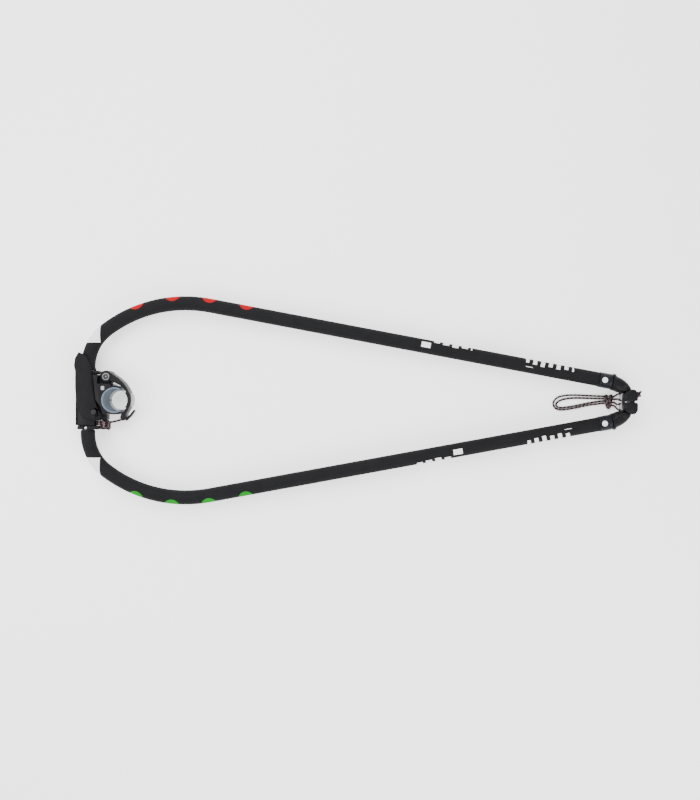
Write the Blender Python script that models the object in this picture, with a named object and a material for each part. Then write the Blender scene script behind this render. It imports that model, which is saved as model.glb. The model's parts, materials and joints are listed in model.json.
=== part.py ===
"""Windsurfing wishbone boom, set to its shortest length.

Sizes are in millimetres and turned into metres when a mesh is finished.
X runs from the head (-) to the tail (+), Y across the boom, +Z up.
The tubes' middle plane lies MID above the floor; heights below are counted from that plane.
"""
import math

import bmesh
import bpy
from mathutils import Matrix, Vector

# ---- driving dimensions (mm, degrees) ----
MM = 0.001
MID = 38.0                    # middle plane above the floor, half the mast cup's height
TUBE_X = -643.0               # centre line of the tube across the head
ARM_START = 22.0              # inner end of each arm tube, from the centre plane
BEND_START = 79.0             # where the front bend begins
BENDS = ((114.0, 90.0, 37.0, 6), (312.0, 37.0, 0.0, 5), (323.5, 0.0, -10.54, 3))
LEG_DEG = -10.54              # direction of the straight leg
ARM_R, ARM_BORE = 14.5, 13.0
GRIP_R, GRIP_BORE = 17.0, 14.8
EXT_R, EXT_BORE = 12.4, 10.9
EXT_LENGTH = 600.0
TRAVEL = 405.0                # slide of an extension in its arm
HOLE_STEPS = 20
GRIP_START = 72.0
COLLAR_X0, COLLAR_X1 = 582.0, 613.0
COLLAR_R = 18.3
BUTTON_X = 592.8
BUTTON_R = 7.0
LEVER_AXIS = (-622.8, -28.7)
JAW_AXIS = (-595.7, 56.0)
MAST = (-572.0, 0.0)          # centre of the mast seat
CUP_R, CUP_BORE = 30.5, 26.5
CUP_FROM, CUP_TO = 67.0, 297.0
HOUSING_Z = 21.0
HOUSING_Y = 61.5
PLATE_Z0, PLATE_Z1 = 21.6, 25.6
SHEAVES = (11.0, -11.0)
SHEAVE_X = 642.0
SHEAVE_R = 9.5
ROPE_R = 2.0
GAP = 0.3
TUBE_SIDES = 16
SIDES = {"left": 1, "right": -1}

PAINTS = {
    "moulded_black": ((0.012, 0.012, 0.014), 0.45, 0.0),
    "lever_black": ((0.020, 0.019, 0.024), 0.5, 0.0),
    "jaw_black": ((0.014, 0.013, 0.015), 0.4, 0.0),
    "cup_rubber": ((0.16, 0.23, 0.31), 0.55, 0.0),
    "bush_rubber": ((0.03, 0.03, 0.03), 0.7, 0.0),
    "pad_grey": ((0.45, 0.47, 0.48), 0.5, 0.0),
    "foam": ((0.018, 0.018, 0.018), 0.8, 0.0),
    "alloy": ((0.05, 0.05, 0.055), 0.35, 0.9),
    "collar_plastic": ((0.016, 0.018, 0.023), 0.35, 0.0),
    "button_white": ((0.85, 0.85, 0.85), 0.4, 0.0),
    "steel": ((0.55, 0.55, 0.56), 0.25, 1.0),
    "sheave_grey": ((0.35, 0.36, 0.37), 0.4, 0.0),
    "rope_braid": ((0.09, 0.06, 0.065), 0.85, 0.0),
}


# ---- scene and object helpers ----
def clear_scene():
    for item in list(bpy.data.objects):
        bpy.data.objects.remove(item, do_unlink=True)


def paint(name):
    """The Principled material of one finish."""
    if name in bpy.data.materials:
        return bpy.data.materials[name]
    colour, roughness, metallic = PAINTS[name]
    material = bpy.data.materials.new(name)
    material.use_nodes = True
    shader = material.node_tree.nodes["Principled BSDF"]
    shader.inputs["Base Color"].default_value = (*colour, 1.0)
    shader.inputs["Roughness"].default_value = roughness
    shader.inputs["Metallic"].default_value = metallic
    return material


def place(bm, name, finish, origin=(0.0, 0.0, 0.0)):
    """Turn a mesh drawn in millimetres about the middle plane into a named object at its origin."""
    bmesh.ops.recalc_face_normals(bm, faces=bm.faces)
    bmesh.ops.translate(bm, verts=bm.verts, vec=(-origin[0], -origin[1], -origin[2]))
    bmesh.ops.scale(bm, verts=bm.verts, vec=(MM, MM, MM))
    mesh = bpy.data.meshes.new(name)
    bm.to_mesh(mesh)
    bm.free()
    mesh.shade_smooth()
    mesh.set_sharp_from_angle(angle=math.radians(35))
    mesh.materials.append(paint(finish))
    thing = bpy.data.objects.new(name, mesh)
    thing.location = (origin[0] * MM, origin[1] * MM, (origin[2] + MID) * MM)
    bpy.context.collection.objects.link(thing)
    return thing


def boolean(thing, tools, operation):
    """Join or cut with meshes drawn in millimetres, and keep the result as the object's mesh."""
    for number, bm in enumerate(tools):
        tool = place(bm, f"tool_{number}", "steel")
        modifier = thing.modifiers.new("shape", "BOOLEAN")
        modifier.object = tool
        modifier.operation = operation
        modifier.solver = "EXACT"
        bpy.context.view_layer.update()
        shaped = thing.evaluated_get(bpy.context.evaluated_depsgraph_get())
        mesh = bpy.data.meshes.new_from_object(shaped)
        thing.modifiers.clear()
        finish = thing.data.materials[0]
        thing.data = mesh
        mesh.materials.clear()
        mesh.materials.append(finish)
        bpy.data.objects.remove(tool, do_unlink=True)
    return thing


# ---- mesh shapes (mm) ----
def prism(outline, low, high):
    """A plan outline pulled up from one height to another."""
    bm = bmesh.new()
    base = bm.faces.new([bm.verts.new((x, y, low)) for x, y in outline])
    pulled = bmesh.ops.extrude_face_region(bm, geom=[base])
    tops = [v for v in pulled["geom"] if isinstance(v, bmesh.types.BMVert)]
    bmesh.ops.translate(bm, verts=tops, vec=(0, 0, high - low))
    return bm


def box(low, high):
    (x0, y0, z0), (x1, y1, z1) = low, high
    return prism(((x0, y0), (x1, y0), (x1, y1), (x0, y1)), z0, z1)


def rounded(bm, width, segments=2, corner=30.0):
    """Bevel every edge sharper than corner."""
    bmesh.ops.recalc_face_normals(bm, faces=bm.faces)
    edges = [e for e in bm.edges if e.calc_face_angle(0.0) > math.radians(corner)]
    bmesh.ops.bevel(bm, geom=edges, offset=width, segments=segments, profile=0.5, affect="EDGES", material=-1)
    return bm


def rod(start, end, radius, sides=24, end_radius=None):
    """A round bar, or a cone, between two points."""
    start, end = Vector(start), Vector(end)
    bm = bmesh.new()
    bmesh.ops.create_cone(bm, cap_ends=True, cap_tris=False, segments=sides, radius1=radius,
                          radius2=radius if end_radius is None else end_radius, depth=(end - start).length)
    turn = Vector((0, 0, 1)).rotation_difference(end - start).to_matrix().to_4x4()
    bmesh.ops.transform(bm, matrix=Matrix.Translation((start + end) / 2) @ turn, verts=bm.verts)
    return bm


def arc_points(centre, radius, start_deg, end_deg, steps):
    points = []
    for step in range(steps + 1):
        angle = math.radians(start_deg + (end_deg - start_deg) * step / steps)
        points.append((centre[0] + radius * math.cos(angle), centre[1] + radius * math.sin(angle)))
    return points


def ring_sector(centre, inner, outer, start_deg, end_deg, steps, low, high):
    outline = arc_points(centre, outer, start_deg, end_deg, steps)
    outline += arc_points(centre, inner, end_deg, start_deg, steps)
    return prism(outline, low, high)


def swept_tube(stations, outer, inner, sides):
    """A hollow round tube along (x, y, direction in degrees) stations in the middle plane."""
    bm = bmesh.new()
    rings = []
    for x, y, degrees in stations:
        heading = math.radians(degrees)
        across = Vector((-math.sin(heading), math.cos(heading), 0))
        for radius in (outer, inner):
            ring = []
            for side in range(sides):
                angle = 2 * math.pi * side / sides
                spot = Vector((x, y, 0)) + across * (radius * math.cos(angle))
                ring.append(bm.verts.new(spot + Vector((0, 0, radius * math.sin(angle)))))
            rings.append(ring)

    def skin(first, second):
        for side in range(sides):
            after = (side + 1) % sides
            bm.faces.new((first[side], first[after], second[after], second[side]))

    for number in range(0, len(rings) - 2, 2):
        skin(rings[number], rings[number + 2])
        skin(rings[number + 1], rings[number + 3])
    skin(rings[0], rings[1])
    skin(rings[-2], rings[-1])
    return bm


# ---- the line of an arm ----
def bend_stations():
    """Stations of the left arm's bends, from the head to the start of the straight leg."""
    x, y = TUBE_X, BEND_START
    stations = [(x, y, 90.0)]
    for radius, start, end, steps in BENDS:
        centre_x = x + radius * math.sin(math.radians(start))
        centre_y = y - radius * math.cos(math.radians(start))
        for step in range(1, steps + 1):
            degrees = start + (end - start) * step / steps
            heading = math.radians(degrees)
            x = centre_x - radius * math.sin(heading)
            y = centre_y + radius * math.cos(heading)
            stations.append((x, y, degrees))
    return stations


LEG_START = bend_stations()[-1]
LEG_SLOPE = math.tan(math.radians(LEG_DEG))
LEG_DIR = Vector((math.cos(math.radians(LEG_DEG)), math.sin(math.radians(LEG_DEG)), 0))


def leg_y(x):
    return LEG_START[1] + LEG_SLOPE * (x - LEG_START[0])


def leg_point(x, along=0.0, side=1):
    """A point of the leg's centre line at x, moved along the leg."""
    spot = Vector((x, leg_y(x), 0)) + LEG_DIR * along
    return Vector((spot.x, spot.y * side, 0))


def arm_stations(start_y, end_x, side):
    stations = [(TUBE_X, start_y, 90.0)] + bend_stations() + [(end_x, leg_y(end_x), LEG_DEG)]
    return [(x, y * side, degrees * side) for x, y, degrees in stations]


# ---- head ----
def head_base():
    """Tube housing, neck, mast seat, jaw tongue and rope horn in one moulding."""
    housing = rounded(box((-664, -HOUSING_Y, -HOUSING_Z), (-622, HOUSING_Y, HOUSING_Z)), 3.0, 2)
    base = place(housing, "head_base", "moulded_black")
    tower = ((-620.5, 60), (-618, 19), (-615.5, 0), (-606, -12), (-600.5, -25), (-599, -34), (-592, -34),
             (-588, -31), (-574, -31), (-574, 31), (-586, 38.5), (-612.5, 39), (-612.5, 60))
    neck = ((-630, 58), (-630, -46.5), (-594, -46.5), (-594, 44), (-612, 58))
    horn = box((-607, -68, -8), (-595, -45, 8))
    horn_lip = rounded(box((-610, -70, -11), (-592, -67.4, 11)), 0.8, 1)
    tongue = prism(((-628, 58), (-628, 40), (-590, 30), (-584, 44), (-590, 58)), -13.5, 13.5)
    boss = rod((*JAW_AXIS, -13.5), (*JAW_AXIS, 13.5), 13.5, 28)
    seat = ring_sector(MAST, CUP_R + GAP, 34.0, CUP_FROM, CUP_TO, 30, -MID, MID)
    blocks = [prism(neck, -13.4, 13.4), prism(tower, -MID, MID), seat, tongue, boss, horn, horn_lip]
    boolean(base, blocks, "UNION")
    mast_bore = rod((*MAST, -60), (*MAST, 60), CUP_R + GAP, 48)
    tube_bore = rod((TUBE_X, -90, 0), (TUBE_X, 90, 0), 18.1, 28)
    lever_pin = rod((*LEVER_AXIS, -60), (*LEVER_AXIS, 60), 4.2, 16)
    jaw_pin = rod((*JAW_AXIS, -60), (*JAW_AXIS, 60), 4.3, 16)
    slot = arc_points((-600, 26.5), 4.6, 180, 360, 8) + arc_points((-600, 31), 4.6, 0, 180, 8)
    under_slot = box((-621.4, 24, -60), (-595.4, 34, 32))
    boolean(base, [mast_bore, tube_bore, prism(slot, -60, 60), under_slot, lever_pin, jaw_pin], "DIFFERENCE")


def head_fittings():
    """Cover, cup, bushes, end caps, pins and screws."""
    cover = box((-667.6, -60, -HOUSING_Z), (-664 - GAP, 25, HOUSING_Z))
    place(rounded(cover, 1.0, 1), "front_cover", "moulded_black")
    cup = ring_sector(MAST, CUP_BORE, CUP_R, CUP_FROM, CUP_TO, 36, -MID, MID)
    place(cup, "mast_cup", "cup_rubber")
    for name, side in SIDES.items():
        ends = [(TUBE_X, 36.0 * side, 90.0), (TUBE_X, 61.2 * side, 90.0)]
        place(swept_tube(ends, 17.8, 15.8, 28), f"{name}_tube_bush", "bush_rubber")
        near, far = 61.8 * side, 70.0 * side
        plate = box((-664, min(near, far), -20), (-613, max(near, far), 20))
        cap = place(rounded(plate, 2.0, 2), f"{name}_end_cap", "moulded_black")
        passage = rod((TUBE_X, 50 * side, 0), (TUBE_X, 90 * side, 0), 16.2, 28)
        screw_hole = rod((TUBE_X, 66 * side, 17.5), (TUBE_X, 66 * side, 30), 3.3, 12)
        boolean(cap, [passage, screw_hole], "DIFFERENCE")
        screw = rod((TUBE_X, 66 * side, 17.8), (TUBE_X, 66 * side, 21.0), 3.0, 16)
        place(rounded(screw, 0.5, 1, 60.0), f"{name}_cap_screw", "steel")
    pin = place(rod((*LEVER_AXIS, -27.6), (*LEVER_AXIS, 27.6), 4.0, 20), "lever_pin", "steel")
    heads = [rod((*LEVER_AXIS, low), (*LEVER_AXIS, low + 1.7), 6.5, 20) for low in (-27.6, 25.9)]
    boolean(pin, heads, "UNION")
    screw = place(rod((*JAW_AXIS, -25.5), (*JAW_AXIS, 24.0), 4.0, 20), "jaw_screw", "steel")
    boolean(screw, [rod((*JAW_AXIS, 20.4), (*JAW_AXIS, 23.6), 10.2, 28, 9.4)], "UNION")
    nut = place(rod((*JAW_AXIS, -25.0), (*JAW_AXIS, -20.4), 8.0, 6), "jaw_nut", "steel")
    boolean(nut, [rod((*JAW_AXIS, -40), (*JAW_AXIS, 0), 4.3, 16)], "DIFFERENCE")


def lever():
    """Channel that straddles the tube, open towards the mast."""
    nose = [(-667.6, 29), (-667.6, 68), (-670.75, 82), (-668.5, 99), (-660, 114), (-650, 110), (-640, 102)]
    side = [(-633, 85), (-628, 67), (-626, 40), (-622, 19), (-620, 0), (-617, -9), (-611, -25), (-603.2, -36)]
    eye = arc_points(LEVER_AXIS, 20.9, -30, -130, 8)
    heel = [(-650, -42), (-661, -25), (-665, 0)]
    outline = nose + side + eye + heel
    upper = rounded(prism(outline, PLATE_Z0, PLATE_Z1), 1.0, 1, 50.0)
    body = place(upper, "lever", "lever_black", (*LEVER_AXIS, 0))
    lower = rounded(prism(outline, -PLATE_Z1, -PLATE_Z0), 1.0, 1, 50.0)
    wall_outer = [(-667.4, 29), (-667.4, 68), (-670.4, 82), (-668.2, 99), (-665.8, 104)]
    wall_inner = [(-662.6, 104), (-664.4, 97), (-667.8, 82), (-664.4, 68), (-664.4, 29)]
    wall = prism(wall_outer + wall_inner, -PLATE_Z0 - 1, PLATE_Z0 + 1)
    boolean(body, [lower, wall], "UNION")
    boolean(body, [rod((*LEVER_AXIS, -40), (*LEVER_AXIS, 40), 4.3, 20)], "DIFFERENCE")


def jaw():
    """Arm that closes round the mast, with its lining, outer pad and rope prong."""
    outer = [(-586.8, 67.3), (-567, 53.5), (-554, 41.2), (-544.9, 27.5), (-539.5, 15), (-538, 0)]
    hook = [(-539.5, -14.3), (-544.9, -25.2), (-550, -34), (-548, -46), (-556, -49), (-562, -42)]
    inner = [(-559.5, -34.3), (-550.4, -24), (-544.6, -12.4), (-542.4, 0), (-544.6, 13), (-550.4, 24)]
    root = [(-561.3, 34.8), (-574, 41.5), (-583, 44.5)]
    arm = place(prism(outer + hook + inner + root, -20, 20), "jaw_arm", "jaw_black", (*JAW_AXIS, 0))
    boss = rod((*JAW_AXIS, -20), (*JAW_AXIS, 20), 14.5, 32)
    prong = prism([(-552, -46), (-549, -49.5), (-538, -38), (-529, -25), (-532, -23), (-541, -34)], -7, 7)
    boolean(arm, [boss, prong], "UNION")
    fork = rod((*JAW_AXIS, -14), (*JAW_AXIS, 14), 16.2, 32)
    slot = prism([(-615, 30), (-595, 30), (-586, 40), (-586, 44), (-600, 72), (-615, 72)], -14, 14)
    pin_hole = rod((*JAW_AXIS, -40), (*JAW_AXIS, 40), 4.3, 20)
    boolean(arm, [fork, slot, pin_hole], "DIFFERENCE")
    lining = ring_sector((-573.0, 0.0), 27.8, 29.3, 40, -38, 14, -17, 17)
    place(lining, "jaw_lining", "bush_rubber", (*JAW_AXIS, 0))
    pad = prism([(-538.2, 17), (-534.5, 12), (-533, 0), (-534.5, -10), (-538.5, -16), (-537.3, 0)], -14, 14)
    place(pad, "jaw_outer_pad", "pad_grey", (*JAW_AXIS, 0))


# ---- arms, extensions and buttons ----
def arm(name, side):
    stations = arm_stations(ARM_START, 604, side)
    tube = place(swept_tube(stations, ARM_R, ARM_BORE, TUBE_SIDES), f"{name}_arm_tube", "alloy")
    button_spot = leg_point(BUTTON_X, 0, side)
    up = Vector((0, 0, 1))
    boolean(tube, [rod(button_spot + up * 5, button_spot + up * 30, 4.3, 16)], "DIFFERENCE")
    grip = swept_tube(arm_stations(GRIP_START, COLLAR_X0 - 1, side), GRIP_R, GRIP_BORE, TUBE_SIDES)
    place(grip, f"{name}_grip", "foam")
    first, last = leg_point(COLLAR_X0, 0, side), leg_point(COLLAR_X1, 0, side)
    collar = place(rod(first, last, COLLAR_R, 24), f"{name}_collar", "collar_plastic")
    along = (last - first).normalized()
    across = Vector((-along.y, along.x, 0))
    corners = [button_spot + along * a + across * b for a, b in ((-11, -10), (11, -10), (11, 10), (-11, 10))]
    pad = prism([(corner.x, corner.y) for corner in corners], 12, 19.6)
    boolean(collar, [rounded(pad, 1.2, 1, 60.0)], "UNION")
    bore = rod(first - along * 5, last + along * 5, ARM_R + GAP, 24)
    well = rod(button_spot + up * 5, button_spot + up * 30, BUTTON_R + 0.4, 20)
    boolean(collar, [bore, well], "DIFFERENCE")


def extension(name, side):
    tail_end = leg_point(627.0, 0, side)
    away = Vector((LEG_DIR.x, LEG_DIR.y * side, 0))
    degrees = LEG_DEG * side
    inner_end = tail_end - away * EXT_LENGTH
    ends = [(inner_end.x, inner_end.y, degrees), (tail_end.x, tail_end.y, degrees)]
    tube = place(swept_tube(ends, EXT_R, EXT_BORE, TUBE_SIDES), f"{name}_extension_tube", "alloy")
    spot = leg_point(BUTTON_X, 0, side)
    up = Vector((0, 0, 1))
    pitch = TRAVEL / HOLE_STEPS
    holes = bmesh.new()
    for step in range(HOLE_STEPS + 1):
        at = spot - away * (pitch * step)
        hole = bmesh.ops.create_cone(holes, cap_ends=True, segments=8, radius1=4.0, radius2=4.0, depth=10)
        bmesh.ops.translate(holes, verts=hole["verts"], vec=at + up * 12)
    boolean(tube, [holes], "DIFFERENCE")
    plug = rod(inner_end - away * 8, inner_end - away * GAP, 12.6, 24)
    stub = rod(inner_end - away * 2, inner_end + away * 20, EXT_BORE - GAP, 24)
    boolean(place(plug, f"{name}_extension_plug", "bush_rubber"), [stub], "UNION")


def button(name, side):
    spot = leg_point(BUTTON_X, 0, side)
    up = Vector((0, 0, 1))
    disc = rod(spot + up * 17.6, spot + up * 20.9, BUTTON_R, 24)
    cap = place(disc, f"{name}_button", "button_white", tuple(spot))
    boolean(cap, [rod(spot + up * 12.8, spot + up * 19, 3.5, 20)], "UNION")
    turns, steps, wire = 2, 10, 0.4
    points = []
    for step in range(turns * steps + 1):
        angle = 2 * math.pi * step / steps
        height = 15.3 + 1.6 * step / (turns * steps)
        points.append(spot + Vector((5.4 * math.cos(angle), 5.4 * math.sin(angle), height)))
    cord_tube(f"{name}_button_spring", points, wire, "steel", 1)


# ---- tail ----
def tail():
    lobe = [(669, 2), (670.75, 6), (670.75, 20), (665, 29), (656, 30), (648, 26), (641, 21.5), (637, 17),
            (636, 2)]
    mirrored = [(x, -y) for x, y in reversed(lobe)]
    body = place(rounded(prism(lobe, -24, 24), 2.0, 2, 30), "tail_body", "moulded_black")
    core = box((654.5, -6, -20), (664, 6, 20))
    boolean(body, [rounded(prism(mirrored, -24, 24), 2.0, 2, 30), core], "UNION")
    pockets = [box((600, -24, -7), (654, 24, 7))]
    pins = [rod((SHEAVE_X, y, -40), (SHEAVE_X, y, 40), 3.2, 16) for y in SHEAVES]
    rope_way = rod((640, 19, 0), (690, 19, 0), 3.2, 14)
    boolean(body, pockets + pins + [rope_way], "DIFFERENCE")
    for number, (name, side) in enumerate(SIDES.items()):
        y = SHEAVES[number]
        rim = rod((SHEAVE_X, y, -6.5), (SHEAVE_X, y, 6.5), SHEAVE_R, 20)
        sheave = place(rim, f"{name}_sheave", "sheave_grey", (SHEAVE_X, y, 0))
        groove = ring_sector((SHEAVE_X, y), SHEAVE_R - 2.5, SHEAVE_R + 3, 0, 180, 10, -2.4, 2.4)
        other = ring_sector((SHEAVE_X, y), SHEAVE_R - 2.5, SHEAVE_R + 3, 180, 360, 10, -2.4, 2.4)
        boolean(sheave, [groove, other, rod((SHEAVE_X, y, -9), (SHEAVE_X, y, 9), 3.1, 16)], "DIFFERENCE")
        place(rod((SHEAVE_X, y, -24.5), (SHEAVE_X, y, 24.5), 3.0, 16), f"{name}_sheave_pin", "steel")
        knee(name, side)


def knee(name, side):
    mouth = leg_point(614.0, 0, side)
    along = Vector((LEG_DIR.x, LEG_DIR.y * side, 0))
    outside = [(616.5, 61.5), (627, 59), (640.5, 50.5), (649.5, 40), (655, 30.6)]
    inside = [(647.6, 26.6), (639.6, 22.4), (627, 22.4), (612, 28.5)]
    shape = prism([(x, y * side) for x, y in outside + inside], -18, 18)
    body = place(rounded(shape, 4.0, 2, 40), f"{name}_knee", "moulded_black")
    boolean(body, [rod(mouth, mouth + along * 9, 20.0, 24)], "UNION")
    boolean(body, [rod(mouth - along * 5, mouth + along * 17, 16.8, 24)], "DIFFERENCE")
    spot = (640.5, 36.0 * side)
    boolean(body, [rod((*spot, 15.5), (*spot, 30), 4.3, 16)], "DIFFERENCE")
    place(rod((*spot, 15.8), (*spot, 19.0), 4.0, 20), f"{name}_knee_screw", "steel")


# ---- ropes ----
def smooth_route(points, count):
    """Points read at even lengths from a smooth curve through a route's own points."""
    points = [Vector(p) for p in points]
    ends = [points[0] * 2 - points[1]] + points + [points[-1] * 2 - points[-2]]
    fine = []
    for number in range(1, len(ends) - 2):
        before, here, after, beyond = ends[number - 1:number + 3]
        for step in range(16):
            t = step / 16
            slope = (after - before) * t
            bend = (before * 2 - here * 5 + after * 4 - beyond) * t ** 2
            twist = (here * 3 - before - after * 3 + beyond) * t ** 3
            fine.append((here * 2 + slope + bend + twist) * 0.5)
    fine.append(points[-1])
    lengths = [0.0]
    for first, second in zip(fine, fine[1:]):
        lengths.append(lengths[-1] + (second - first).length)
    even = []
    piece = 0
    for number in range(count):
        target = lengths[-1] * number / (count - 1)
        while piece < len(fine) - 2 and lengths[piece + 1] < target:
            piece += 1
        share = (target - lengths[piece]) / (lengths[piece + 1] - lengths[piece])
        even.append(fine[piece].lerp(fine[piece + 1], share))
    return even


def cord_tube(name, points, radius, finish, resolution):
    """A plain round cord: a curve with a bevel and filled caps."""
    curve = bpy.data.curves.new(name, "CURVE")
    curve.dimensions = "3D"
    curve.bevel_depth = radius * MM
    curve.bevel_resolution = resolution
    curve.use_fill_caps = True
    spline = curve.splines.new("POLY")
    spline.points.add(len(points) - 1)
    for target, point in zip(spline.points, points):
        target.co = (point.x * MM, point.y * MM, (point.z + MID) * MM, 1.0)
    curve.materials.append(paint(finish))
    bpy.context.collection.objects.link(bpy.data.objects.new(name, curve))


FLOOR = -MID + ROPE_R + 0.15
LOOP_OUTER = [(604, 13.4, -33), (586, 13.9, -35), (562, 14.9, FLOOR), (536, 15.9, FLOOR), (512, 15.2, FLOOR),
              (492, 10.5, FLOOR), (481.5, 0, FLOOR), (481.5, -9.5, FLOOR), (486.5, -16.5, FLOOR),
              (496, -19.8, FLOOR), (512, -19, FLOOR), (536, -14.8, FLOOR), (562, -9.2, FLOOR),
              (586, -5.6, -35), (604, -3.6, -33)]
LOOP_INNER = [(604, 7.6, -33), (586, 7.9, -35), (562, 8.5, FLOOR), (536, 8.9, FLOOR), (515, 7.6, FLOOR),
              (498, 3.2, FLOOR), (488.4, -4, FLOOR), (488.2, -10.2, FLOOR), (495, -14.4, FLOOR),
              (510, -13.9, FLOOR), (536, -9.6, FLOOR), (562, -4, FLOOR), (586, 0, -35), (604, 1.8, -33)]
LEAD_A = [(624.5, 12, -31), (626.8, 13, -29), (628.8, 15.5, -21), (629.5, 17.5, -11), (631.2, 19.3, -3),
          (634.2, 20, 0)]
LEAD_B = [(624.5, 6, -31), (627, 6, -29), (628.9, 6.5, -21), (629.3, 7.5, -10), (629.6, 8.5, 0)]
LEAD_C = [(624.5, -1.5, -31), (627, -2, -29), (628.9, -4.4, -21), (629.3, -6.4, -10), (629.6, -8.5, 0)]
LEAD_D = [(624.5, -8.8, -31), (626.8, -10, -29), (628.8, -13, -21), (629.5, -16.5, -11), (631.2, -19.3, -3),
          (634.2, -20, 0)]
CLAMP_ROPE = [(-589.1, -53, 3.2), (-580, -51.3, 3.2), (-570, -48.9, 3.2), (-562.3, -46.6, 3.2)]
ROUTES = {
    "outhaul_loop_outer": (LOOP_OUTER, 30),
    "outhaul_loop_inner": (LOOP_INNER, 27),
    "outhaul_lead_a": (LEAD_A, 10),
    "outhaul_lead_b": (LEAD_B, 9),
    "outhaul_lead_c": (LEAD_C, 9),
    "outhaul_lead_d": (LEAD_D, 10),
    "clamp_rope_upper": (CLAMP_ROPE, 6),
    "clamp_rope_lower": ([(x, y, -z) for x, y, z in CLAMP_ROPE], 6),
}


def ropes():
    for name, (points, count) in ROUTES.items():
        cord_tube(name, smooth_route(points, count), ROPE_R - 0.05, "rope_braid", 2)
    knot = bmesh.new()
    bmesh.ops.create_icosphere(knot, subdivisions=2, radius=1.0)
    bmesh.ops.scale(knot, verts=knot.verts, vec=(11.2, 16.5, 7.5))
    bmesh.ops.translate(knot, verts=knot.verts, vec=(614.2, 3, -MID + 7.6))
    knot_body = place(knot, "outhaul_front_knot", "rope_braid")
    trims = [box((580, -30, -50), (604.5, 30, 0)), box((622.9, -30, -50), (650, 30, 0))]
    boolean(knot_body, trims, "DIFFERENCE")
    stopper = rounded(prism(arc_points((677, 19), 6.0, 0, 324, 9), -6, 6), 2.5, 2, 60)
    place(stopper, "outhaul_stopper_knot", "rope_braid")
    coil = rounded(box((-612.6, -67, -14), (-589.5, -48.4, 14)), 4.0, 2)
    winding = place(coil, "rope_winding", "rope_braid")
    boolean(winding, [box((-607 - GAP, -80, -8 - GAP), (-595 + GAP, -30, 8 + GAP))], "DIFFERENCE")


def build():
    clear_scene()
    head_base()
    head_fittings()
    lever()
    jaw()
    for name, side in SIDES.items():
        arm(name, side)
        extension(name, side)
        button(name, side)
    tail()
    ropes()


build()
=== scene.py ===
import json
import math

import bmesh
import bpy
from mathutils import Matrix, Vector

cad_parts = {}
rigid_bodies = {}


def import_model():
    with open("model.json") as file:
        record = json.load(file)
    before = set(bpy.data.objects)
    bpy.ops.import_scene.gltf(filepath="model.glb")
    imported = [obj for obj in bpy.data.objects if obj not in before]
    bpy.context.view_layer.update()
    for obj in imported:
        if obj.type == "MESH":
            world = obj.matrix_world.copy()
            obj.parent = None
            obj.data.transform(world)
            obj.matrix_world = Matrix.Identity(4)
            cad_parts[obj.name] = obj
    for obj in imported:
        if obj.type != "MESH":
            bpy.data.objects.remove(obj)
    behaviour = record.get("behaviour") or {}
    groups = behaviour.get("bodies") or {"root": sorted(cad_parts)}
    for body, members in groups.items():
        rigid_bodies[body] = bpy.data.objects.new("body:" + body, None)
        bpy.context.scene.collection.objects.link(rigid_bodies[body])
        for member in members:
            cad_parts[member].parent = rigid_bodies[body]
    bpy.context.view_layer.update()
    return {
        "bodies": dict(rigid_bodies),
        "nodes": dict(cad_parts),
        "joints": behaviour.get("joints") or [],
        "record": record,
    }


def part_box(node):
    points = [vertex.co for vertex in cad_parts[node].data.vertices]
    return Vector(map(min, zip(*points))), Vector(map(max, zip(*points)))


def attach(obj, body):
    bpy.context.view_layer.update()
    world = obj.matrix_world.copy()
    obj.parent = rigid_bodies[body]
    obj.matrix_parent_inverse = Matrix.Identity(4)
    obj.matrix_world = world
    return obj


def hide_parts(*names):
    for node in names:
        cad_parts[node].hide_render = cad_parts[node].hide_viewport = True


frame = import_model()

# ---- sizes the frame gives, and the boom's own line (metres) ----
MID = (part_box("mast_cup")[0].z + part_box("mast_cup")[1].z) / 2
TUBE_X = -0.643
BEND_START = 0.079
BENDS = ((0.114, 90.0, 37.0), (0.312, 37.0, 0.0), (0.3235, 0.0, -10.54))
LEG_DEG = -10.54
GRIP_R = 0.017
GRIP_START = 0.072
GRIP_END_X = 0.5812
COLLAR_X = (0.582, 0.613)
COLLAR_R = 0.0183
BUTTON_X = 0.5928
BUTTON_WELL_R = 0.00705
MAST = Vector((-0.572, 0.0, MID))
CUP_BORE, CUP_R = 0.0265, 0.0304
CUP_FROM_DEG, CUP_ROUND_DEG = 67, 230
TUBE_BORE, TUBE_R, TUBE_LENGTH, TUBE_END_X = 0.0109, 0.0124, 0.6, 0.627
PIN_HOLES, PIN_HOLE_R, PIN_TRAVEL = 21, 0.004, 0.405
ELBOW_X = 0.614
ROPE_R = 0.0024
SIDES = {"left": 1, "right": -1}
UP = Vector((0, 0, 1))
CAMERA_AT, CAMERA_TURN_DEG = (-0.0144, 0.0022, MID + 2.4), 0.195
DOT_R, DOT_TURN_DEG = 0.0168, 15
BLOCK_HALF, BLOCK_TURN = 0.011, (0.95, 1.75)


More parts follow.
